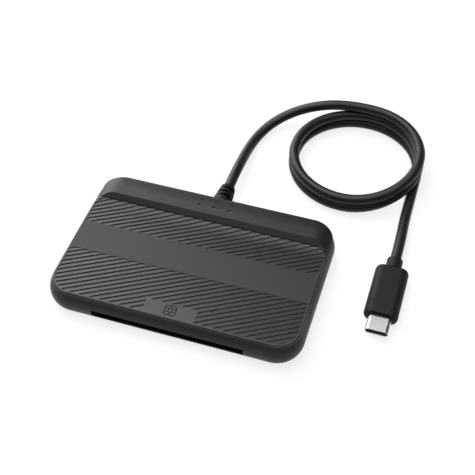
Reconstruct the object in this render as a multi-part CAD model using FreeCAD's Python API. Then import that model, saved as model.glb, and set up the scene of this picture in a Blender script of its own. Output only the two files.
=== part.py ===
import FreeCAD, Part
import math
import os
from FreeCAD import Vector

# Desktop smart card reader: two-part case with a ribbed top, a card slot low in the front,
# a board with its contact block inside, and a tethered lead with a small oval plug.
# Millimetres, +Z up, origin on the table under the middle of the case, +Y to the rear.

# Case outline
case_width = 94.4
case_depth = 62.4
corner_radius = 10.0
wall = 1.6
top_wall = 1.6

# Case heights above the table
foot_proud = 0.8
floor_wall = 1.2
seam_height = 2.7
widest_height = 5.0
bar_foot_height = 7.2
rim_height = 9.4
panel_height = 10.4
bar_rise = 2.5

# The side wall bows out round the case, and the panel stands inside its rim
wall_bow_radius = 7.5
lower_stages = 4
upper_stages = 7
panel_inset = 1.5
panel_chamfer = 0.35

# Rear bar, measured forward from the rear face: the panel sweeps up to it, then a steep face,
# a flat top and a rounded back; both ends fall away
sweep_start_back = 19.2
sweep_end_back = 14.3
sweep_rise = 0.6
sweep_corner = 4.5
bar_edge_back = 12.2
bar_flat_back = 8.3
bar_round_back = 2.4
bar_back_radius = 15.0
bar_back_stages = 3
bar_rear_radius = 2.4
bar_rear_turn = 84.0
bar_rear_stages = 4
bar_end_run = 7.3

# Ribs: saw-tooth facets at an angle, in two fields with a plain band between them
rib_angle = 29.5
rib_pitch = 1.86
rib_land = 0.2
rib_depth = 0.33
rib_margin = 0.9
rib_overrun = 0.3
rib_steps = 5
rib_corner = 4.0
rib_least_volume = 0.6
band_front = -8.9
band_rear = 4.6
window_width = 19.0
window_depth = 6.6

# Card slot and card channel
card_width = 54.0
card_thickness = 0.76
slot_width = 56.0
slot_height = 3.0
slot_drop = 0.3
slot_lip = 0.6
card_side_clearance = 0.3
guide_width = 1.3
guide_rise = 1.2
bed_rib_width = 2.0
bed_rib_pitch = 10.5
bed_rib_setback = 3.0
card_stop = 19.0
stop_width = 24.0
stop_thickness = 1.2

# Seam lip that keys the two shells
lip_thickness = 0.8
lip_rise = 1.0
lip_clearance = 0.1

# Case screws and feet
screw_side = 7.2
screw_y_front = -12.0
screw_y_rear = 13.0
screw_post_radius = 3.2
screw_boss_radius = 2.6
screw_shank_radius = 0.85
screw_head_radius = 2.0
screw_head_height = 1.3
screw_recess_share = 0.55
screw_engagement = 4.0
screw_bore_spare = 0.4
screw_clearance = 0.25
thread_clearance = 0.03
post_height = 4.2
post_web = 1.2
foot_side = 10.7
foot_end = 8.7
foot_radius = 3.75
foot_recess = 0.5

# Circuit board on four standoffs
board_width = 70.0
board_front = -8.0
board_setback = 7.0
board_thickness = 1.0
board_height = 5.9
standoff_x = 31.6
standoff_y_front = -4.0
standoff_y_rear = 16.0
standoff_radius = 2.0
board_screw_radius = 0.7
board_screw_head = 1.5
board_screw_head_height = 0.8
board_screw_length = 3.0

# Contact block under the board
block_width = 26.0
block_depth = 20.0
block_height = 1.9
contact_offset = 3.1
contact_setback = 15.06
contact_pitch = 2.54
contact_rows_apart = 7.62
contact_width = 0.9
contact_thickness = 0.2
contact_tail = 3.3
contact_root = 1.54
contact_tip = 1.1
contact_window_end = 1.76
contact_window_gap = 0.35

# Card detect switch under the board
switch_x = -19.0
switch_length = 5.0
switch_depth = 3.2
switch_height = 1.5
switch_lever_width = 0.8

# Parts on top of the board
chip_x = 0.0
chip_y = 4.0
chip_size = 6.0
chip_height = 0.9
crystal_x = -10.0
crystal_length = 5.0
crystal_width = 3.2
crystal_height = 1.1
regulator_x = -10.0
regulator_y = 12.0
protector_x = 5.0
protector_y = 14.0
regulator_length = 2.9
regulator_width = 1.6
regulator_height = 1.1
passive_x = 12.0
passive_y = -1.0
passive_length = 1.6
passive_width = 0.8
passive_height = 0.6
passive_pitch = 3.0
passive_count = 6

# Status lights in the rear bar
light_pitch = 5.9
light_row_back = 8.8
light_hole_radius = 0.85
light_pipe_clearance = 0.05
light_pipe_setback = 0.35
light_web_width = 15.0
light_web_depth = 3.0
light_web_thickness = 0.9
led_size = 1.6
led_height = 0.6
led_gap = 0.3

# Pocket under the bar, and the pad that the strain relief seats on
pocket_width = 40.0
pocket_roof = 1.8
pad_width = 12.0
pad_thickness = 2.9

# Lead: strain relief, cable and coil
cable_radius = 2.05
bend_share = 0.45
exit_height = 6.8
relief_neck_radius = 3.8
relief_tip_radius = 2.9
relief_flange_radius = 4.2
relief_flange_thickness = 1.3
relief_hole_clearance = 0.1
relief_length = 8.2
relief_straight = 1.0
relief_slot_width = 1.0
relief_slot_pitch = 2.2
relief_slot_first = 1.2
relief_slot_count = 3
relief_slot_sweep = 130.0
relief_slot_turn = 25.0
relief_core_radius = 2.1
wire_radius = 0.4
wire_spread = 1.45
wire_clearance = 0.02
wire_land = 3.0
coil_x = 43.7
coil_behind = 42.3
coil_radius = 25.2
coil_layers = 2
coil_top_sweep = 125.0
coil_stub = 15.5
lead_lift = 0.05

# Plug
plug_x = 69.5
plug_tail_ahead = 4.9
plug_neck_length = 5.5
plug_neck_radius = 2.95
plug_neck_chamfer = 0.8
plug_body_length = 22.7
plug_width = 12.3
plug_thickness = 6.4
plug_edge_round = 1.0
shell_width = 8.34
shell_thickness = 2.56
shell_wall = 0.28
shell_proud = 6.5
shell_seat = 3.0
mouth_width = 6.7
mouth_height = 0.9
mouth_depth = 5.0
mouth_setback = 0.25
plug_contact_count = 12
plug_contact_pitch = 0.5
plug_contact_width = 0.26
plug_contact_thickness = 0.08
plug_contact_length = 3.4

# Levels and places worked out from the sizes above
case_bottom = foot_proud
floor_top = case_bottom + floor_wall
roof = panel_height - top_wall
bar_top = panel_height + bar_rise
slot_top = seam_height + slot_height
pocket_top = bar_top - pocket_roof
board_top = board_height + board_thickness
front_face = -case_depth / 2
rear_face = case_depth / 2
screw_x = case_width / 2 - screw_side
foot_x = case_width / 2 - foot_side
foot_y = case_depth / 2 - foot_end
bar_end = case_width / 2 - panel_inset
bar_end_start = bar_end - bar_end_run
bar_end_drop = bar_top - rim_height
sweep_start = rear_face - sweep_start_back
sweep_end = rear_face - sweep_end_back
bar_edge = rear_face - bar_edge_back
bar_flat_end = rear_face - bar_flat_back
bar_round_start = rear_face - bar_round_back
light_row = rear_face - light_row_back
board_rear = rear_face - board_setback
pad_face = rear_face - pad_thickness
relief_end = rear_face + relief_length
coil_y = rear_face + coil_behind
plug_height = plug_thickness / 2
plug_tail_end = rear_face - plug_tail_ahead
plug_neck_end = plug_tail_end - plug_neck_length
plug_body_end = plug_neck_end - plug_body_length
plug_tip = plug_body_end - shell_proud
mouth_face = plug_tip + mouth_setback
contact_x = contact_offset
contact_y = card_stop - contact_setback
margin = 1.0
coil_top = 2 * cable_radius * coil_layers
coil_lead_height = coil_top + cable_radius + lead_lift
cable_route = [
    Vector(0.0, relief_end, exit_height),
    Vector(0.0, rear_face + 18.2, exit_height),
    Vector(-0.2, rear_face + 27.5, 4.9),
    Vector(-0.4, rear_face + 36.6, 2.8),
    Vector(0.8, rear_face + 46.2, 2.1),
    Vector(4.9, rear_face + 55.2, 3.3),
    Vector(13.0, rear_face + 61.6, 6.4),
    Vector(24.0, rear_face + 64.4, coil_lead_height),
    Vector(35.0, coil_y + coil_radius, coil_lead_height),
    Vector(coil_x, coil_y + coil_radius, coil_lead_height),
]
tail_route = [
    Vector(coil_x + coil_radius, coil_y - coil_stub, cable_radius),
    Vector(coil_x + coil_radius, rear_face + 16.8, cable_radius),
    Vector(plug_x, rear_face + 5.2, plug_height),
    Vector(plug_x, plug_tail_end, plug_height),
]


def outline(inset, z, width=case_width, depth=case_depth, radius=corner_radius):
    """Rounded rectangle wire, centred on the origin, drawn in from the case outline."""
    half_x = width / 2 - inset
    half_y = depth / 2 - inset
    r = radius - inset
    bow = r * (1 - math.sqrt(0.5))
    edges = []
    corners = [(1, -1), (1, 1), (-1, 1), (-1, -1)]
    points = []
    for sx, sy in corners:
        on_side = Vector(sx * half_x, sy * (half_y - r), z)
        on_end = Vector(sx * (half_x - r), sy * half_y, z)
        middle = Vector(sx * (half_x - bow), sy * (half_y - bow), z)
        first, last = (on_end, on_side) if sx * sy < 0 else (on_side, on_end)
        points.append((first, middle, last))
    for k, (first, middle, last) in enumerate(points):
        edges.append(Part.Arc(first, middle, last).toShape())
        edges.append(Part.LineSegment(last, points[(k + 1) % 4][0]).toShape())
    return Part.Wire(edges)


def prism(wire, height):
    return Part.Face(wire).extrude(Vector(0, 0, height))


def box(x0, x1, y0, y1, z0, z1):
    return Part.makeBox(x1 - x0, y1 - y0, z1 - z0, Vector(x0, y0, z0))


def post(x, y, z0, z1, radius):
    return Part.makeCylinder(radius, z1 - z0, Vector(x, y, z0))


def polygon(points):
    return Part.makePolygon(points + [points[0]])


def fuse_all(first, others):
    return first.fuse(others).removeSplitter() if others else first


def stadium(width, height, x, y, z):
    """Flat-topped oval wire in a plane of constant Y."""
    r = height / 2
    run = width / 2 - r
    left_top, right_top = Vector(x - run, y, z + r), Vector(x + run, y, z + r)
    left_low, right_low = Vector(x - run, y, z - r), Vector(x + run, y, z - r)
    return Part.Wire([
        Part.LineSegment(left_low, right_low).toShape(),
        Part.Arc(right_low, Vector(x + run + r, y, z), right_top).toShape(),
        Part.LineSegment(right_top, left_top).toShape(),
        Part.Arc(left_top, Vector(x - run - r, y, z), left_low).toShape(),
    ])


def tube_along(points, radius, name):
    """Straight runs joined by tangent arcs, each arc as large as its runs allow."""
    edges = []
    start = points[0]
    radii = []
    for before, corner, after in zip(points, points[1:], points[2:]):
        into = (before - corner).normalize()
        out = (after - corner).normalize()
        turn = math.pi - into.getAngle(out)
        setback = bend_share * min((before - corner).Length, (after - corner).Length)
        bend = setback / math.tan(turn / 2)
        radii.append(bend)
        first = corner + into * setback
        last = corner + out * setback
        inward = (into + out).normalize()
        middle = corner + inward * (bend / math.cos(turn / 2) - bend)
        edges.append(Part.LineSegment(start, first).toShape())
        edges.append(Part.Arc(first, middle, last).toShape())
        start = last
    edges.append(Part.LineSegment(start, points[-1]).toShape())
    path = Part.Wire(edges)
    heading = points[1] - points[0]
    section = Part.Wire([Part.makeCircle(radius, points[0], heading)])
    tube = path.makePipeShell([section], True, True)
    exact = math.pi * radius ** 2 * path.Length
    print(name, "length %.1f" % path.Length, "radii", ["%.1f" % r for r in radii],
          "volume ratio %.4f" % (tube.Volume / exact))
    return tube


def wall_inset(z):
    """How far the bowed side wall stands in from its widest line at a height."""
    return wall_bow_radius - math.sqrt(wall_bow_radius ** 2 - (z - widest_height) ** 2)


def bowed_stages(low, high, count, thickness=0.0):
    heights = [low + (high - low) * k / count for k in range(count + 1)]
    return [(wall_inset(z) + thickness, z) for z in heights]


def stacked(stages):
    return Part.makeLoft([outline(inset, z) for inset, z in stages], True, True)


def outer_form():
    """Outside of the upper shell: bowed walls, flat panel, its rear sweep and the bar."""
    walls = stacked(bowed_stages(seam_height, rim_height, upper_stages)
                    + [(panel_inset, panel_height - panel_chamfer),
                       (panel_inset + panel_chamfer, panel_height)])
    return walls.cut(behind_panel()).fuse([panel_sweep(), rear_bar(), bar_shoulders()]).removeSplitter()


def sweep_radius():
    run = sweep_end - sweep_start
    return (run ** 2 + sweep_rise ** 2) / (2 * sweep_rise)


def panel_level(y):
    """Height of the panel at a given depth, flat and then rising to the bar."""
    if y <= sweep_start:
        return panel_height
    r = sweep_radius()
    return panel_height + r - math.sqrt(r ** 2 - (y - sweep_start) ** 2)


def sweep_plan(spread):
    """Plan of the panel's rear, with its two free corners rounded, spread outwards by a width."""
    half = case_width / 2 - panel_inset - panel_chamfer + spread
    plan = outline(0, bar_foot_height, 2 * half, 2 * (sweep_end + spread - sweep_start),
                   sweep_corner + spread)
    plan.translate(Vector(0, sweep_start, 0))
    return prism(plan, bar_top - bar_foot_height)


def panel_sweep():
    """Rear of the panel curving up to the bar."""
    half = case_width / 2 - panel_inset
    middle = (sweep_start + sweep_end) / 2
    start = Vector(-half, sweep_start, panel_height)
    end = Vector(-half, sweep_end, panel_level(sweep_end))
    under_end = Vector(-half, sweep_end, bar_foot_height)
    under_start = Vector(-half, sweep_start, bar_foot_height)
    profile = Part.Wire([
        Part.Arc(start, Vector(-half, middle, panel_level(middle)), end).toShape(),
        Part.LineSegment(end, under_end).toShape(),
        Part.LineSegment(under_end, under_start).toShape(),
        Part.LineSegment(under_start, start).toShape(),
    ])
    return Part.Face(profile).extrude(Vector(2 * half, 0, 0)).common(sweep_plan(0.0))


def behind_panel():
    """What is above the rim behind the panel's rounded rear corners."""
    space = box(-case_width / 2, case_width / 2, sweep_end - sweep_corner, rear_face + margin,
                rim_height, bar_top)
    return space.cut(sweep_plan(panel_chamfer))


def bar_shoulders():
    """The bar's falling ends carried forward round the panel's rear corners, down to the rim."""
    reach = box(-bar_end, bar_end, sweep_end - sweep_corner, sweep_end, bar_foot_height,
                panel_level(sweep_end))
    return bar_ends(bar_foot_height).common(reach).cut(sweep_plan(0.0))


def crown_stages():
    """Inset and height up the bar's back: upright, a tight round, then a slow curve to the flat."""
    lean = math.asin((bar_round_start - bar_flat_end) / bar_back_radius)
    turn = math.radians(bar_rear_turn)
    round_y = bar_round_start - bar_rear_radius * math.sin(lean)
    round_z = bar_top - bar_back_radius * (1 - math.cos(lean)) - bar_rear_radius * math.cos(lean)
    places = []
    for k in range(bar_rear_stages):
        angle = turn + (lean - turn) * k / bar_rear_stages
        places.append((round_y + bar_rear_radius * math.sin(angle),
                       round_z + bar_rear_radius * math.cos(angle)))
    for k in range(bar_back_stages + 1):
        angle = lean * (1 - k / bar_back_stages)
        places.append((bar_flat_end + bar_back_radius * math.sin(angle),
                       bar_top - bar_back_radius * (1 - math.cos(angle))))
    places.insert(0, (places[0][0], bar_foot_height))
    return [(rear_face - y, z) for y, z in places]


def rear_bar():
    """Bar across the back: its steep front face, its two falling ends and its crowned back."""
    foot = Vector(0, sweep_end, panel_level(sweep_end))
    edge = Vector(0, bar_edge, bar_top)
    over = edge + (edge - foot)
    behind = rear_face + margin
    front = Part.Face(polygon([Vector(0, sweep_end, bar_foot_height), foot, over,
                               Vector(0, behind, over.z), Vector(0, behind, bar_foot_height)]))
    bar = front.extrude(Vector(case_width, 0, 0))
    bar.translate(Vector(-case_width / 2, 0, 0))
    return bar.common(bar_ends(bar_foot_height)).common(stacked(crown_stages()))


def bar_ends(low):
    """Front view of the bar: flat across the middle, falling to the rim at both ends."""
    radius = (bar_end_run ** 2 + bar_end_drop ** 2) / (2 * bar_end_drop)
    half = bar_end_run / 2
    half_drop = radius - math.sqrt(radius ** 2 - half ** 2)

    def fall(side):
        return [Vector(side * bar_end_start, 0, bar_top),
                Vector(side * (bar_end_start + half), 0, bar_top - half_drop),
                Vector(side * bar_end, 0, bar_top - bar_end_drop)]

    right, left = fall(1), fall(-1)
    right_low, left_low = Vector(bar_end, 0, low), Vector(-bar_end, 0, low)
    edges = [Part.LineSegment(left[0], right[0]).toShape(), Part.Arc(*right).toShape(),
             Part.LineSegment(right[2], right_low).toShape(),
             Part.LineSegment(right_low, left_low).toShape(),
             Part.LineSegment(left_low, left[2]).toShape(), Part.Arc(*reversed(left)).toShape()]
    return Part.Face(Part.Wire(edges)).extrude(Vector(0, case_depth / 2, 0))


def rib_cuts(depths):
    """Saw-tooth grooves through a list of depths; each keeps its section while it follows the panel."""
    slant = math.tan(math.radians(rib_angle))
    step = rib_pitch / math.sin(math.radians(rib_angle))
    width = (rib_pitch - rib_land) / math.sin(math.radians(rib_angle))
    lean = (depths[-1] - depths[0]) / slant
    count = int((case_width + lean + width) / step) + 1
    cuts = []
    for k in range(count):
        x = -case_width / 2 - lean + k * step
        runs = []
        for y0, y1 in zip(depths, depths[1:]):
            z = panel_level(y0)
            section = polygon([Vector(x + width, y0, z), Vector(x, y0, z - rib_depth),
                               Vector(x, y0, z + margin), Vector(x + width, y0, z + margin)])
            along = Vector((y1 - y0) / slant, y1 - y0, panel_level(y1) - z)
            runs.append(Part.Face(section).extrude(along))
            x += along.x
        cuts.append(fuse_all(runs[0], runs[1:]))
    return cuts


def rib_fields():
    """Grooves trimmed to the panel's outline and to the plain window at the front."""
    inset = panel_inset + rib_margin
    low = panel_height - 2 * rib_depth
    field = prism(outline(inset, low), 4 * margin)
    window_edge = front_face + panel_inset + window_depth
    window = box(-window_width / 2, window_width / 2, front_face, window_edge,
                 panel_height - margin, panel_height + 2 * margin)
    front = [c.common(field).cut(window) for c in rib_cuts([front_face, band_front])]
    end = sweep_end + rib_overrun
    rear_plan = outline(0, low, case_width - 2 * inset, 2 * (end - band_rear), rib_corner)
    rear_plan.translate(Vector(0, band_rear, 0))
    rear_field = prism(rear_plan, 4 * margin)
    rise = [sweep_start + (end - sweep_start) * k / rib_steps for k in range(rib_steps + 1)]
    rear = [c.common(rear_field) for c in rib_cuts([band_rear] + rise)]
    return [solid for c in front + rear for solid in c.Solids if solid.Volume > rib_least_volume]


def screw_places():
    return [(sx * screw_x, y) for sx in (-1, 1) for y in (screw_y_front, screw_y_rear)]


def light_places():
    return [k * light_pitch for k in (-1, 0, 1)]


def upper_shell():
    inner = bowed_stages(seam_height, roof, upper_stages, wall)
    cavity = stacked([(inner[0][0], seam_height - margin)] + inner)
    pocket = box(-pocket_width / 2, pocket_width / 2, bar_edge, pad_face, bar_foot_height, pocket_top)
    pad = box(-pad_width / 2, pad_width / 2, pad_face, rear_face, seam_height, pocket_top)
    form = outer_form()
    shell = form.cut([cavity, pocket])
    bosses = [post(x, y, post_height, roof + margin / 2, screw_boss_radius) for x, y in screw_places()]
    shell = shell.fuse(bosses + [pad.common(form)])
    cuts = [box(-slot_width / 2, slot_width / 2, front_face - margin, front_face + 3 * wall,
                seam_height - margin, slot_top)]
    bore = screw_shank_radius + thread_clearance
    bore_end = post_height + screw_engagement + screw_bore_spare
    cuts += [post(x, y, seam_height, bore_end, bore) for x, y in screw_places()]
    cuts += [post(x, light_row, roof, bar_top + margin, light_hole_radius) for x in light_places()]
    cuts.append(Part.makeCylinder(relief_neck_radius + relief_hole_clearance, case_depth,
                                  Vector(0, 0, exit_height), Vector(0, 1, 0)).common(
        box(-pad_width, pad_width, pad_face - margin, rear_face + margin, 0, bar_top)))
    shell = shell.cut(cuts)
    return shell.cut(rib_fields()).removeSplitter()


def lower_shell():
    side = wall + wall_inset(seam_height)
    tray = stacked(bowed_stages(case_bottom, seam_height, lower_stages))
    tray = tray.cut(prism(outline(side, floor_top), seam_height))
    lip_outer = side + lip_clearance
    lip = prism(outline(lip_outer, floor_top), seam_height + lip_rise - floor_top)
    lip = lip.cut(prism(outline(lip_outer + lip_thickness, floor_top), seam_height))
    lip = lip.cut([
        box(-slot_width / 2 - margin, slot_width / 2 + margin, front_face, 0, seam_height, slot_top),
        box(-pad_width / 2 - margin, pad_width / 2 + margin, 0, rear_face, floor_top, slot_top)])
    channel = card_width / 2 + card_side_clearance
    channel_front = front_face + lip_outer + lip_thickness
    adds = [lip]
    for side in (-1, 1):
        x = sorted((side * channel, side * (channel + guide_width)))
        adds.append(box(x[0], x[1], channel_front, card_stop, floor_top, seam_height + guide_rise))
    for k in (-2, -1, 0, 1, 2):
        x = k * bed_rib_pitch
        adds.append(box(x - bed_rib_width / 2, x + bed_rib_width / 2, front_face + side + bed_rib_setback,
                        card_stop, floor_top, seam_height))
    adds.append(box(-stop_width / 2, stop_width / 2, card_stop, card_stop + stop_thickness,
                    floor_top, seam_height + guide_rise))
    adds += [post(x, y, floor_top, board_height, standoff_radius) for x, y in standoff_places()]
    adds += [post(x, y, case_bottom, post_height, screw_post_radius) for x, y in screw_places()]
    shell = tray.fuse(adds)
    lip_low = seam_height - slot_drop
    lip_back = front_face + wall_inset(lip_low) + slot_lip
    cuts = [box(-slot_width / 2, slot_width / 2, front_face - margin, channel_front, lip_low, slot_top),
            box(-slot_width / 2, slot_width / 2, lip_back, channel_front, floor_top, slot_top)]
    head_room = screw_head_radius + screw_clearance
    shank_room = screw_shank_radius + screw_clearance
    for x, y in screw_places():
        cuts.append(post(x, y, 0, post_height - post_web, head_room))
        cuts.append(post(x, y, 0, post_height + margin, shank_room))
    bore = board_screw_radius + thread_clearance
    cuts += [post(x, y, board_top - board_screw_length, board_top, bore) for x, y in board_screw_places()]
    cuts += [post(x, y, 0, case_bottom + foot_recess, foot_radius) for x, y in foot_places()]
    return shell.cut(cuts).removeSplitter()


def foot_places():
    return [(sx * foot_x, sy * foot_y) for sx in (-1, 1) for sy in (-1, 1)]


def standoff_places():
    return [(sx * standoff_x, y) for sx in (-1, 1) for y in (standoff_y_front, standoff_y_rear)]


def board_screw_places():
    return [(-standoff_x, standoff_y_front), (standoff_x, standoff_y_rear)]


def rubber_feet():
    feet = []
    for x, y in foot_places():
        foot = post(x, y, 0, case_bottom + foot_recess, foot_radius)
        rim = [e for e in foot.Edges if e.BoundBox.ZMax < 0.01]
        feet.append(foot.makeChamfer(foot_proud / 2, rim))
    return Part.makeCompound(feet)


def screw(x, y, seat, up, shank, head, head_height, length):
    """Pan head screw whose head bears on a seat; up is 1 when its point is above the head."""
    axis = Vector(0, 0, up)
    body = Part.makeCylinder(shank, length, Vector(x, y, seat), axis)
    cap = Part.makeCylinder(head, head_height, Vector(x, y, seat), axis * -1)
    far = seat - up * head_height
    rim = [e for e in cap.Edges if abs(e.BoundBox.ZMax - far) < 0.01 and abs(e.BoundBox.ZMin - far) < 0.01]
    cap = cap.makeChamfer(head_height / 3, rim)
    slot = box(x - head, x + head, y - shank / 4, y + shank / 4,
               min(far, far + up * head_height / 3), max(far, far + up * head_height / 3))
    cross = slot.copy()
    cross.rotate(Vector(x, y, 0), Vector(0, 0, 1), 90)
    recess = slot.fuse(cross).common(post(x, y, 0, bar_top, head * screw_recess_share))
    return body.fuse(cap).cut(recess).removeSplitter()


def case_screws():
    seat = post_height - post_web
    length = post_web + screw_engagement
    return Part.makeCompound([
        screw(x, y, seat, 1, screw_shank_radius, screw_head_radius, screw_head_height, length)
        for x, y in screw_places()])


def board_screws():
    return Part.makeCompound([
        screw(x, y, board_top, -1, board_screw_radius, board_screw_head, board_screw_head_height,
              board_screw_length) for x, y in board_screw_places()])


def circuit_board():
    board = box(-board_width / 2, board_width / 2, board_front, board_rear, board_height, board_top)
    uprights = [e for e in board.Edges if e.BoundBox.ZLength > board_thickness / 2]
    board = board.makeFillet(margin, uprights)
    room = board_screw_radius + screw_clearance / 2
    around = screw_boss_radius + screw_clearance
    return board.cut([post(x, y, 0, bar_top, room) for x, y in board_screw_places()]
                     + [post(x, y, 0, bar_top, around) for x, y in screw_places()])


def contact_places():
    places = []
    for row in (-1, 1):
        for k in range(4):
            places.append((contact_x + (k - 1.5) * contact_pitch, row * contact_rows_apart / 2, row))
    return places


def contact_block():
    low = board_height - block_height
    block = box(contact_x - block_width / 2, contact_x + block_width / 2,
                contact_y - block_depth / 2, contact_y + block_depth / 2, low, board_height)
    uprights = [e for e in block.Edges if e.BoundBox.ZLength > block_height / 2]
    block = block.makeFillet(margin, uprights)
    half = contact_width / 2 + contact_window_gap
    windows = []
    for x, dy, row in contact_places():
        tip = contact_y + dy
        y0, y1 = sorted((tip + row * contact_root, tip - row * contact_window_end))
        windows.append(box(x - half, x + half, y0, y1, low, low + block_height / 2))
    return block.cut(windows)


def contact_springs():
    """Eight bent leaves that hang from the block and bow down to the card's face."""
    low = board_height - block_height
    touch = seam_height + card_thickness
    springs = []
    for x, dy, row in contact_places():
        tip = contact_y + dy
        ends = [(contact_tail, low), (contact_root, low),
                (0.0, touch + contact_thickness), (-contact_tip, low)]
        upper = [Vector(x - contact_width / 2, tip + row * along, z) for along, z in ends]
        lower = [p - Vector(0, 0, contact_thickness) for p in reversed(upper)]
        face = Part.Face(polygon(upper + lower))
        springs.append(face.extrude(Vector(contact_width, 0, 0)))
    return Part.makeCompound(springs)


def card_detect_switch():
    low = board_height - switch_height
    body = box(switch_x - switch_length / 2, switch_x + switch_length / 2,
               card_stop - switch_depth, card_stop, low, board_height)
    lever = polygon([Vector(switch_x - switch_length / 2, card_stop - switch_depth / 2, low),
                     Vector(switch_x + switch_length / 4, card_stop - switch_depth / 2, low),
                     Vector(switch_x + switch_length / 3, card_stop - switch_depth / 2,
                            seam_height + card_thickness)])
    lever = Part.Face(lever).extrude(Vector(0, switch_lever_width, 0))
    return body.fuse(lever).removeSplitter()


def chip(x, y, length, depth, height):
    body = box(x - length / 2, x + length / 2, y - depth / 2, y + depth / 2, board_top, board_top + height)
    rim = [e for e in body.Edges if e.BoundBox.ZMin > board_top + height - 0.01]
    return body.makeChamfer(height / 6, rim)


def board_passives():
    parts = []
    for k in range(passive_count):
        x = passive_x + passive_pitch * (k % 3)
        y = passive_y + passive_pitch * (k // 3)
        parts.append(box(x, x + passive_length, y, y + passive_width, board_top, board_top + passive_height))
    return Part.makeCompound(parts)


def status_leds():
    return Part.makeCompound([chip(x, light_row, led_size, led_size, led_height) for x in light_places()])


def light_pipe():
    """One clear moulding: a web under the bar with a post up each hole and one down to each LED."""
    web = box(-light_web_width / 2, light_web_width / 2, light_row - light_web_depth / 2,
              light_row + light_web_depth / 2, pocket_top - light_web_thickness, pocket_top)
    radius = light_hole_radius - light_pipe_clearance
    foot = board_top + led_height + led_gap
    posts = [post(x, light_row, foot, bar_top - light_pipe_setback, radius) for x in light_places()]
    return fuse_all(web, posts)


def strain_relief():
    flange_start = pad_face - relief_flange_thickness
    profile = [(0, flange_start), (relief_flange_radius, flange_start), (relief_flange_radius, pad_face),
               (relief_neck_radius, pad_face), (relief_neck_radius, rear_face + relief_straight),
               (relief_tip_radius, relief_end), (0, relief_end)]
    half = Part.Face(polygon([Vector(r, y, exit_height) for r, y in profile]))
    body = half.revolve(Vector(0, 0, exit_height), Vector(0, 1, 0), 360)
    cuts = []
    for k in range(relief_slot_count):
        y = rear_face + relief_slot_first + k * relief_slot_pitch
        for side in (0, 180):
            ring = Part.makeCylinder(2 * relief_neck_radius, relief_slot_width, Vector(0, y, exit_height),
                                     Vector(0, 1, 0), relief_slot_sweep)
            core = Part.makeCylinder(relief_core_radius, relief_slot_width, Vector(0, y, exit_height),
                                     Vector(0, 1, 0))
            ring = ring.cut(core)
            ring.rotate(Vector(0, 0, exit_height), Vector(0, 1, 0), side + 90 * (k % 2) - relief_slot_turn)
            cuts.append(ring)
    return body.cut(cuts)


def cable_wires():
    """Four cores from the moulded relief to pads on the board, between the lights."""
    start = pad_face - relief_flange_thickness
    lie = board_top + wire_radius + wire_clearance
    return Part.makeCompound([
        Part.makeCylinder(wire_radius, start - board_rear + wire_land, Vector(k * wire_spread, start, lie),
                          Vector(0, -1, 0)) for k in (-2, -1, 1, 2)])


def cable_coil():
    """Outer shape of the lying turns: a two-layer ring, the turn on top of it, and the way out."""
    d = 2 * cable_radius
    inner = coil_radius - cable_radius

    def ring(z0, z1, sweep):
        near, far = coil_x + inner, coil_x + inner + d
        face = Part.Face(polygon([Vector(near, coil_y, z0), Vector(far, coil_y, z0),
                                  Vector(far, coil_y, z1), Vector(near, coil_y, z1)]))
        return face.revolve(Vector(coil_x, coil_y, 0), Vector(0, 0, 1), sweep)

    lower = ring(0, coil_top, 360)
    upper = ring(coil_top, coil_top + d, coil_top_sweep)
    upper.rotate(Vector(coil_x, coil_y, 0), Vector(0, 0, 1), 90 - coil_top_sweep)
    stub = box(coil_x + inner, coil_x + inner + d, coil_y - coil_stub, coil_y, 0, d)
    return lower.fuse([upper, stub]).removeSplitter()


def plug_overmould():
    """Flat-topped oval grip with rounded ends, and the collar that the cable enters."""
    corner = plug_edge_round * (1 - math.sqrt(0.5))
    rounding = [(0.0, plug_edge_round), (corner, corner), (plug_edge_round, 0.0)]
    stages = rounding + [(plug_body_length - along, inset) for along, inset in reversed(rounding)]
    sections = [stadium(plug_width - 2 * inset, plug_thickness - 2 * inset, plug_x,
                        plug_body_end + along, plug_height) for along, inset in stages]
    body = Part.makeLoft(sections, True, True)
    neck = Part.makeCylinder(plug_neck_radius, plug_neck_length, Vector(plug_x, plug_neck_end, plug_height),
                             Vector(0, 1, 0))
    rim = [e for e in neck.Edges if e.BoundBox.YMin > plug_tail_end - 0.01]
    neck = neck.makeChamfer(plug_neck_chamfer, rim)
    seat = Part.Face(stadium(shell_width, shell_thickness, plug_x, plug_body_end, plug_height))
    seat = seat.extrude(Vector(0, shell_seat, 0))
    return body.fuse(neck).cut(seat).removeSplitter()


def plug_shell():
    length = shell_proud + shell_seat
    tube = Part.Face(stadium(shell_width, shell_thickness, plug_x, plug_tip, plug_height))
    tube = tube.extrude(Vector(0, length, 0))
    inside = Part.Face(stadium(shell_width - 2 * shell_wall, shell_thickness - 2 * shell_wall,
                               plug_x, plug_tip, plug_height))
    return tube.cut(inside.extrude(Vector(0, length, 0)))


def mouth():
    return box(plug_x - mouth_width / 2, plug_x + mouth_width / 2, plug_tip, mouth_face + mouth_depth,
               plug_height - mouth_height / 2, plug_height + mouth_height / 2)


def plug_insert():
    core = Part.Face(stadium(shell_width - 2 * shell_wall, shell_thickness - 2 * shell_wall,
                             plug_x, mouth_face, plug_height))
    core = core.extrude(Vector(0, shell_proud + shell_seat - mouth_setback, 0))
    return core.cut(mouth())


def plug_contacts():
    strips = []
    start = mouth_face + mouth_depth - plug_contact_length
    for side in (-1, 1):
        for k in range(plug_contact_count):
            x = plug_x + (k - (plug_contact_count - 1) / 2) * plug_contact_pitch - plug_contact_width / 2
            face = plug_height + side * mouth_height / 2
            z0, z1 = sorted((face, face - side * plug_contact_thickness))
            strips.append(box(x, x + plug_contact_width, start, start + plug_contact_length, z0, z1))
    return Part.makeCompound(strips)


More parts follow.
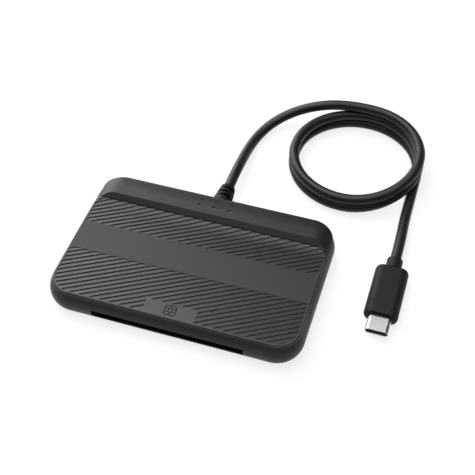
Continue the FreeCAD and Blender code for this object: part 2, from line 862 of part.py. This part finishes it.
parts = {
    "upper_shell": upper_shell(),
    "lower_shell": lower_shell(),
    "rubber_feet": rubber_feet(),
    "case_screws": case_screws(),
    "circuit_board": circuit_board(),
    "board_screws": board_screws(),
    "contact_block": contact_block(),
    "contact_springs": contact_springs(),
    "card_detect_switch": card_detect_switch(),
    "controller_chip": chip(chip_x, chip_y, chip_size, chip_size, chip_height),
    "clock_crystal": chip(crystal_x, chip_y, crystal_length, crystal_width, crystal_height),
    "voltage_regulator": chip(regulator_x, regulator_y, regulator_length, regulator_width, regulator_height),
    "surge_protector": chip(protector_x, protector_y, regulator_length, regulator_width, regulator_height),
    "board_passives": board_passives(),
    "status_leds": status_leds(),
    "light_pipe": light_pipe(),
    "strain_relief": strain_relief(),
    "cable_wires": cable_wires(),
    "cable_lead": tube_along(cable_route, cable_radius, "cable_lead"),
    "cable_coil": cable_coil(),
    "cable_tail": tube_along(tail_route, cable_radius, "cable_tail"),
    "plug_overmould": plug_overmould(),
    "plug_shell": plug_shell(),
    "plug_insert": plug_insert(),
    "plug_contacts": plug_contacts(),
}

os.makedirs("parts", exist_ok=True)
for name, shape in parts.items():
    print(name, "solids", len(shape.Solids), "valid", shape.isValid(), "volume %.2f" % shape.Volume)
    shape.exportStep("parts/%s.step" % name)
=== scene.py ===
import bpy
import math
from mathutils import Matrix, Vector


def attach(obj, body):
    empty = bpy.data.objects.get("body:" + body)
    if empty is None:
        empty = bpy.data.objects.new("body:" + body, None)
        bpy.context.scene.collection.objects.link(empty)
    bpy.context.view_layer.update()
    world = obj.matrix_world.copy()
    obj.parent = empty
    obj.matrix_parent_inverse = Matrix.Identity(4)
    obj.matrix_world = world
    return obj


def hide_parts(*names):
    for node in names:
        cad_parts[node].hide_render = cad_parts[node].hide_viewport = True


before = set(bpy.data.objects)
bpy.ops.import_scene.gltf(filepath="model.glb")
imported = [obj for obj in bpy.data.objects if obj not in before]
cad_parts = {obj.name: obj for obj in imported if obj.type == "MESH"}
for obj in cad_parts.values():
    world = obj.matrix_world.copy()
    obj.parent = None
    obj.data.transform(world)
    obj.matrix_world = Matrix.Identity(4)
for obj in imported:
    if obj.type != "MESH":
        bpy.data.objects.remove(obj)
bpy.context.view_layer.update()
mm = 0.001  # sizes and places are in mm, and those of the stage in metres
print("frame loaded:", len(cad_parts), "nodes")

# camera
cameraSet = {
    "lens": 70.3,
    "sensor": 36,
    "clip": (0.01, 60),  # metres
    "azimuth": 17.5,
    "elevation": 48.4,
    "distance": 355.0,
    "target": (9.6, 21.25, 0.8),
}


def makeCamera(s):
    a, e = math.radians(s["azimuth"]), math.radians(s["elevation"])
    back = Vector((math.sin(a) * math.cos(e), -math.cos(a) * math.cos(e), math.sin(e)))
    data = bpy.data.cameras.new("camera")
    data.lens = s["lens"]
    data.sensor_width = s["sensor"]
    data.clip_start, data.clip_end = s["clip"]
    cam = bpy.data.objects.new("camera", data)
    bpy.context.scene.collection.objects.link(cam)
    cam.location = (Vector(s["target"]) + back * s["distance"]) * mm
    cam.rotation_euler = (-back).to_track_quat("-Z", "Y").to_euler()
    bpy.context.scene.camera = cam


makeCamera(cameraSet)
print("camera set")


# shader maths: a value wraps a socket, and each operator adds one node
class Val:
    def __init__(self, mat, socket):
        self.mat = mat
        self.socket = socket

    def __add__(self, other):
        return self.mat.math("ADD", self, other)

    __radd__ = __add__

    def __mul__(self, other):
        return self.mat.math("MULTIPLY", self, other)

    __rmul__ = __mul__

    def __sub__(self, other):
        return self.mat.math("SUBTRACT", self, other)

    def __rsub__(self, other):
        return self.mat.math("SUBTRACT", other, self)


class Finish:
    def __init__(self, name):
        self.material = bpy.data.materials.new(name)
        self.material.use_nodes = True
        self.tree = self.material.node_tree
        self.shader = self.tree.nodes["Principled BSDF"]

    def node(self, kind, settings=None, values=None, out=0):
        n = self.tree.nodes.new(kind)
        for key, value in (settings or {}).items():
            setattr(n, key, value)
        for key, value in (values or {}).items():
            self.feed(n.inputs[key], value)
        return Val(self, n.outputs[out])

    def feed(self, socket, value):
        if isinstance(value, Val):
            self.tree.links.new(value.socket, socket)
        else:
            socket.default_value = value

    def math(self, operation, a, b):
        return self.node("ShaderNodeMath", {"operation": operation}, {0: a, 1: b})

    # a colour mix has its colours on inputs 6 and 7 and its result on output 2
    def mix(self, factor, a, b):
        return self.node("ShaderNodeMix", {"data_type": "RGBA"}, {0: factor, 6: a, 7: b}, out=2)

    def place(self):
        return self.node("ShaderNodeTexCoord", out="Object")

    def axis(self, name):
        return self.node("ShaderNodeSeparateXYZ", None, {0: self.place()}, out=name)

    def noise(self, scale, detail=2.0):
        return self.node("ShaderNodeTexNoise", None,
                         {"Vector": self.place(), "Scale": scale, "Detail": detail})

    def bump(self, height, strength, distance):
        return self.node("ShaderNodeBump", None,
                         {"Height": height, "Strength": strength, "Distance": distance})

    def set(self, **sockets):
        for key, value in sockets.items():
            self.feed(self.shader.inputs[key.replace("_", " ")], value)
        return self.material


def grey(v):
    return (v, v, v, 1.0)


# the ribbed panel on the upper shell, where the roughness, a painted highlight and the shading change
panelSet = {
    "level": 9.6,
    "bandFront": -8.9,
    "bandRear": 4.6,
    "ribEnd": 16.9,
    "rear": 17.2,
    "halfWidth": 45.6,
}
seamSet = {"height": 2.7, "width": 0.09, "strength": 0.7, "shade": 0.15}
# rib fields: a lighter colour, which is a painted highlight standing in for the ribs' glints, and a
# smoother roughness
ribGlossAndPaintedHighlightSet = {"shade": 0.02, "smoother": 0.12}
mottleSet = {
    "scale": 60,
    "grainDetail": 3.0,
    "broadShare": 0.5,
    "fineShare": 0.25,
    "dark": 0.94,
    "light": 1.06,
    "sheen": 0.08,
    "bump": 0.35,
}
plasticSet = {
    "case": {"shade": 0.01, "rough": 0.44, "grain": 5200, "depth": 0.03, "glint": 0.25,
             "seam": seamSet, "ribs": ribGlossAndPaintedHighlightSet},
    "plug": {"shade": 0.008, "rough": 0.5, "grain": 6000, "depth": 0.02, "glint": 0.12},
    "relief": {"shade": 0.004, "rough": 0.5, "grain": 6000, "depth": 0.02, "glint": 0.14},
    # painted shade: the signs' dark colour stands in for the shading of marks moulded in relief
    "paintedShadeSign": {"shade": 0.004, "rough": 0.6, "grain": 6000, "depth": 0.01, "glint": 0.09},
    "lens": {"shade": 0.022, "rough": 0.45, "grain": 6000, "depth": 0.01},
    "black": {"shade": 0.012, "rough": 0.5, "grain": 6000, "depth": 0.02},
    "foot": {"shade": 0.014, "rough": 0.75, "grain": 3500, "depth": 0.04},
    "board": {"shade": 0.03, "rough": 0.35, "grain": 3000, "depth": 0.01},
    "ceramic": {"shade": 0.25, "rough": 0.5, "grain": 5000, "depth": 0.01},
}


# a dark line where the two shells meet
def seamMask(f, s):
    away = f.math("ABSOLUTE", f.axis("Z") - s["height"] * mm, 0.0)
    return f.math("LESS_THAN", away, s["width"] * mm) * s["strength"]


# 1 over the rib fields and the window, 0 over the band, the bar and the lower sides: where the painted
# highlight and the smoother roughness go
def ribMask(f, s):
    front = f.math("LESS_THAN", f.axis("Y"), s["bandFront"] * mm)
    rear = (f.math("GREATER_THAN", f.axis("Y"), s["bandRear"] * mm)
            * f.math("LESS_THAN", f.axis("Y"), s["ribEnd"] * mm))
    return (front + rear) * f.math("GREATER_THAN", f.axis("Z"), s["level"] * mm)


def mouldedPlastic(name, shade, rough, grain, depth, glint=0.3, seam=None, ribs=None):
    m = mottleSet
    f = Finish(name)
    fine = f.noise(grain, m["grainDetail"])
    broad = f.noise(m["scale"])
    tone = f.mix(broad * m["broadShare"] + fine * m["fineShare"],
                 grey(shade * m["dark"]), grey(shade * m["light"]))
    sheen = rough - m["sheen"] / 2 + broad * m["sheen"]
    if seam:
        tone = f.mix(seamMask(f, seam), tone, grey(shade * seam["shade"]))
    if ribs:
        field = ribMask(f, panelSet)
        # painted highlight: the rib fields and the window take a lighter colour than the band
        tone = f.mix(field, tone, grey(ribs["shade"]))
        sheen = sheen - field * ribs["smoother"]
    return f.set(Base_Color=tone, Roughness=sheen, Specular_IOR_Level=glint,
                 Normal=f.bump(fine, m["bump"], depth * mm))


metalSet = {
    "nickel": {"tint": (0.51, 0.51, 0.5), "rough": 0.25},
    "steel": {"tint": (0.35, 0.35, 0.36), "rough": 0.3},
    "gold": {"tint": (0.83, 0.62, 0.27), "rough": 0.22},
}
streakSet = {"scale": 900, "dark": 0.92, "sheen": 0.06}


def brightMetal(name, tint, rough):
    s = streakSet
    f = Finish(name)
    streak = f.noise(s["scale"])
    dark = [c * s["dark"] for c in tint]
    return f.set(Base_Color=f.mix(streak, (*tint, 1.0), (*dark, 1.0)),
                 Metallic=1.0, Roughness=rough - s["sheen"] / 2 + streak * s["sheen"])


jacketSet = {
    "shade": 0.007,
    "dark": 0.9,
    "light": 1.15,
    "mottle": 150,
    "rough": 0.36,
    "sheen": 0.08,
    "glint": 0.24,
    "grain": 4200,
    "bump": 0.25,
    "depth": 0.02,
}


def cableJacket(name, s):
    f = Finish(name)
    fine = f.noise(s["grain"])
    broad = f.noise(s["mottle"])
    return f.set(Base_Color=f.mix(broad, grey(s["shade"] * s["dark"]), grey(s["shade"] * s["light"])),
                 Roughness=s["rough"] + broad * s["sheen"], Specular_IOR_Level=s["glint"],
                 Normal=f.bump(fine, s["bump"], s["depth"] * mm))


finishes = {name: mouldedPlastic(name + "Finish", **facts) for name, facts in plasticSet.items()}
for name, facts in metalSet.items():
    finishes[name] = brightMetal(name + "Finish", **facts)
finishes["cable"] = cableJacket("cableFinish", jacketSet)
print("finishes made")

# cable: one spline through the lead, the coil's turns and the tail
cableSet = {
    "diameter": 4.1,
    "length": 0.494,  # metres
    "lead": [(0.0, 39.4, 6.8), (0.0, 49.4, 6.8), (-0.2, 58.7, 4.9), (-0.4, 67.8, 2.8), (0.8, 77.4, 2.1),
             (4.9, 86.4, 3.3), (13.0, 92.8, 6.4), (24.0, 95.6, 10.3), (35.0, 98.7, 10.3)],
    "tail": [(68.9, 65.5, 2.05), (68.9, 58.0, 2.05), (68.9, 48.0, 2.05),
             (69.5, 36.4, 3.2), (69.5, 26.3, 3.2)],
    "coilCentre": (43.7, 73.5),
    "coilRadius": 25.2,
    "pointsPerTurn": 16,
    "turns": 2.25,
    "topTurn": 2.5,  # height of the upper turn's middle, in diameters
    "fallAngle": 90.0,  # each turn comes down to the next one over this angle
    "splineSteps": 6,
    "roundSteps": 6,
}


def coilPoints(s):
    step = 360.0 / s["pointsPerTurn"]
    count = int(round(s["turns"] * s["pointsPerTurn"]))
    reach = s["coilRadius"] / math.cos(math.radians(step / 2))
    midX, midY = s["coilCentre"]
    points = []
    for k in range(count):
        angle = 90.0 - (k + 0.5) * step  # clockwise from the rear
        layer = 0
        for start in (0.0, 360.0):
            fall = min(max((-angle - start) / s["fallAngle"], 0.0), 1.0)
            layer += fall * fall * (3 - 2 * fall)
        a = math.radians(angle)
        points.append((midX + reach * math.cos(a), midY + reach * math.sin(a),
                       s["diameter"] * (s["topTurn"] - layer)))
    return points


def makeCable(s):
    route = s["lead"] + coilPoints(s) + s["tail"]
    data = bpy.data.curves.new("cable", "CURVE")
    data.dimensions = "3D"
    spline = data.splines.new("NURBS")
    spline.points.add(len(route) - 1)
    for point, place in zip(spline.points, route):
        point.co = (*(Vector(place) * mm), 1.0)
    spline.order_u = 3
    spline.use_endpoint_u = True
    spline.resolution_u = s["splineSteps"]
    data.bevel_depth = s["diameter"] * mm / 2
    data.bevel_resolution = s["roundSteps"]
    data.use_fill_caps = True
    piece = bpy.data.objects.new("cable", data)
    bpy.context.scene.collection.objects.link(piece)
    data.materials.append(finishes["cable"])
    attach(piece, "root")
    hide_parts("cable_lead", "cable_coil", "cable_tail")
    return piece


cable = makeCable(cableSet)
print("cable laid")

# skins: a merged, smooth-shaded copy of a solid stands for it
skinSet = {
    "upper_shell": {"name": "caseTop", "finish": "case", "slot": "case_black"},
    "lower_shell": {"name": "caseBase", "finish": "case", "slot": "case_black"},
    "rubber_feet": {"name": "feet", "finish": "foot", "slot": "foot_rubber"},
    "case_screws": {"name": "baseScrews", "finish": "steel", "slot": "screw_steel"},
    "strain_relief": {"name": "cableRelief", "finish": "relief", "slot": "cable_black"},
    "plug_overmould": {"name": "plugGrip", "finish": "plug", "slot": "plug_black"},
    "plug_shell": {"name": "plugTube", "finish": "nickel", "slot": "plug_metal"},
}
shadeSet = {
    "merge": 0.002,
    "sharpAngle": 32.0,
    "panelAngle": 9.0,  # the ribs' low edges stay crisp
}


def deselect():
    bpy.ops.object.select_all(action="DESELECT")


def onPanel(place, s):
    return (place.z > s["level"] * mm and place.y < s["rear"] * mm
            and abs(place.x) < s["halfWidth"] * mm)


def sharpen(piece, s):
    mesh = piece.data
    sides = {}
    for face in mesh.polygons:
        for key in face.edge_keys:
            sides.setdefault(key, []).append(face.normal)
    for edge in mesh.edges:
        middle = (mesh.vertices[edge.vertices[0]].co + mesh.vertices[edge.vertices[1]].co) / 2
        pair = sides[edge.key]
        turn = pair[0].angle(pair[1], math.pi) if len(pair) == 2 else math.pi
        limit = s["panelAngle"] if onPanel(middle, panelSet) else s["sharpAngle"]
        edge.use_edge_sharp = turn > math.radians(limit)


def skinOf(node, name, finish, slot):
    deselect()
    piece = bpy.data.objects.new(name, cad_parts[node].data.copy())
    bpy.context.scene.collection.objects.link(piece)
    bpy.context.view_layer.objects.active = piece
    piece.select_set(True)
    bpy.ops.object.mode_set(mode="EDIT")
    bpy.ops.mesh.select_all(action="SELECT")
    bpy.ops.mesh.remove_doubles(threshold=shadeSet["merge"] * mm)
    bpy.ops.object.mode_set(mode="OBJECT")
    bpy.ops.object.shade_smooth()
    sharpen(piece, shadeSet)
    even = piece.modifiers.new("even", "WEIGHTED_NORMAL")
    even.keep_sharp = True
    bpy.ops.object.modifier_apply(modifier="even")
    piece.data.materials.clear()
    piece.data.materials.append(finishes[finish])
    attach(piece, "root")
    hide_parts(node)
    return piece


skins = {node: skinOf(node, **facts) for node, facts in skinSet.items()}

# solids that are shown as they are
plainSet = {
    "circuit_board": "board",
    "board_screws": "steel",
    "contact_block": "black",
    "contact_springs": "gold",
    "card_detect_switch": "black",
    "controller_chip": "black",
    "clock_crystal": "nickel",
    "voltage_regulator": "black",
    "surge_protector": "black",
    "board_passives": "ceramic",
    "status_leds": "ceramic",
    "light_pipe": "lens",
    "cable_wires": "foot",
    "plug_insert": "black",
    "plug_contacts": "gold",
}
for node, finish in plainSet.items():
    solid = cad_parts[node]
    solid.data.materials.clear()
    solid.data.materials.append(finishes[finish])
print("skins and inner pieces finished")

# signs: thin dark plates, a card-chip sign in the plain window and a mark behind each light; their dark
# colour is painted shade, standing in for the shading of marks moulded in relief in the case
chipSet = {
    "place": (0.15, -25.9, 10.4),
    "size": (4.4, 4.4),
    "corner": 1.05,
    "coreSize": (1.6, 2.1),
    "coreCorner": 0.5,
    "line": 0.34,
    "proud": 0.03,
    # shares of the sign's width and height
    "armReach": 0.32,
    "armRow": 0.17,
    "armLength": 0.3,
    "stemReach": 0.36,
    "stemLength": 0.24,
    "endRound": 0.3,  # share of the line
}
markSet = {
    "row": 26.1,
    "level": 12.525,
    "tilt": -11.6,
    "pitch": 5.9,
    "size": 1.4,
    "line": 0.26,
    "proud": 0.03,
    "barStep": 0.45,
    # shares of the mark's size
    "barHeights": (0.4, 0.6, 0.8),
    "cardSize": (1.2, 0.8),
    "cardCorner": 0.14,
    "ringCorner": 0.45,
    "endRound": 0.3,  # share of the line
}
cornerSteps = 5


# a rounded plate, or a frame where a line width is given
def signPlate(centre, size, corner, proud, line=None, tilt=0.0):
    deselect()
    bpy.ops.mesh.primitive_plane_add(size=1, location=[c * mm for c in centre],
                                     rotation=(math.radians(tilt), 0, 0))
    piece = bpy.context.active_object
    piece.scale = (size[0] * mm, size[1] * mm, 1)
    bpy.ops.object.transform_apply(location=False, rotation=False, scale=True)
    bpy.ops.object.mode_set(mode="EDIT")
    bpy.ops.mesh.select_all(action="SELECT")
    bpy.ops.mesh.bevel(offset=corner * mm, segments=cornerSteps, affect="VERTICES")
    if line:
        bpy.ops.mesh.select_mode(type="FACE")
        bpy.ops.mesh.select_all(action="SELECT")
        bpy.ops.mesh.inset(thickness=line * mm, depth=0)
        bpy.ops.mesh.delete(type="FACE")
    bpy.ops.object.mode_set(mode="OBJECT")
    wall = piece.modifiers.new("wall", "SOLIDIFY")
    wall.thickness = 2 * proud * mm  # half of it lies in the case
    wall.offset = 0
    bpy.ops.object.modifier_apply(modifier="wall")
    return piece


def joinSign(plates, name):
    deselect()
    for plate in plates:
        plate.select_set(True)
    bpy.context.view_layer.objects.active = plates[0]
    bpy.ops.object.join()
    bpy.ops.object.transform_apply(location=True, rotation=True, scale=True)
    piece = bpy.context.active_object
    piece.name = name
    # the plates take the dark colour of the signs, which is painted shade
    piece.data.materials.clear()
    piece.data.materials.append(finishes["paintedShadeSign"])
    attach(piece, "root")


def makeChipSign(s):
    w, h = s["size"]
    line = s["line"]
    end = line * s["endRound"]

    def plate(right, up, size, corner, frameLine=None):
        x, y, z = s["place"]
        return signPlate((x + right * w, y + up * h, z), size, corner, s["proud"], frameLine)

    plates = [plate(0, 0, (w, h), s["corner"], line),
              plate(0, 0, s["coreSize"], s["coreCorner"], line)]
    for side in (-1, 1):
        for row in (-1, 1):
            plates.append(plate(side * s["armReach"], row * s["armRow"], (w * s["armLength"], line), end))
        plates.append(plate(0, side * s["stemReach"], (line, h * s["stemLength"]), end))
    joinSign(plates, "chipSign")


# a ring, a card and three bars
def makeLightMarks(s):
    size, line = s["size"], s["line"]

    def plate(x, shape, corner, frameLine=None):
        return signPlate((x, s["row"], s["level"]), shape, corner, s["proud"], frameLine, s["tilt"])

    plates = [plate(-s["pitch"], (size, size), size * s["ringCorner"], line),
              plate(0.0, [size * share for share in s["cardSize"]], size * s["cardCorner"], line)]
    for k, share in enumerate(s["barHeights"], -1):
        plates.append(plate(s["pitch"] + k * s["barStep"], (line, size * share), line * s["endRound"]))
    joinSign(plates, "lightMarks")


makeChipSign(chipSet)
makeLightMarks(markSet)
print("signs made")

# stage, in metres: a glowing floor, a low key from the back left, a soft top light and a wide fill
stageSet = {
    "floorSize": 30.0,
    "floorLevel": -0.0002,
    "floorShade": 0.15,
    "floorRough": 0.9,
    # near the part and far from it
    "glow": (0.77, 1.2),
    "glowReach": (0.25, 0.9),
    "worldStrength": 0.06,
    "lights": {
        "keyLight": {"place": (-0.88, 0.72, 0.43), "size": 1.03, "power": 15.4},
        "topLight": {"place": (-0.4, 0.35, 1.0), "size": 0.7, "power": 7.4},
        "fillLight": {"place": (-0.1, -0.05, 1.3), "size": 1.6, "power": 24.8},
    },
}


def makeLight(name, place, size, power):
    data = bpy.data.lights.new(name, "AREA")
    data.size = size
    data.energy = power
    lamp = bpy.data.objects.new(name, data)
    bpy.context.scene.collection.objects.link(lamp)
    lamp.location = place
    lamp.rotation_euler = Vector(place).to_track_quat("Z", "Y").to_euler()


def glowingFloor(s):
    f = Finish("floorFinish")
    away = f.node("ShaderNodeVectorMath", {"operation": "LENGTH"}, {0: f.place()}, out="Value")
    glow = f.node("ShaderNodeMapRange", None, {
        "Value": away,
        "From Min": s["glowReach"][0],
        "From Max": s["glowReach"][1],
        "To Min": s["glow"][0],
        "To Max": s["glow"][1],
    })
    return f.set(Base_Color=grey(s["floorShade"]), Roughness=s["floorRough"],
                 Emission_Color=glow, Emission_Strength=1.0)


def makeStage(s):
    deselect()
    bpy.ops.mesh.primitive_plane_add(size=s["floorSize"], location=(0, 0, s["floorLevel"]))
    floor = bpy.context.active_object
    floor.name = "floor"
    floor.data.materials.append(glowingFloor(s))
    for name, facts in s["lights"].items():
        makeLight(name, **facts)
    world = bpy.data.worlds.new("studio")
    bpy.context.scene.world = world
    world.use_nodes = True
    background = world.node_tree.nodes["Background"]
    background.inputs["Color"].default_value = grey(1.0)
    background.inputs["Strength"].default_value = s["worldStrength"]
    bpy.context.scene.view_settings.view_transform = "Standard"


makeStage(stageSet)
print("stage lit")
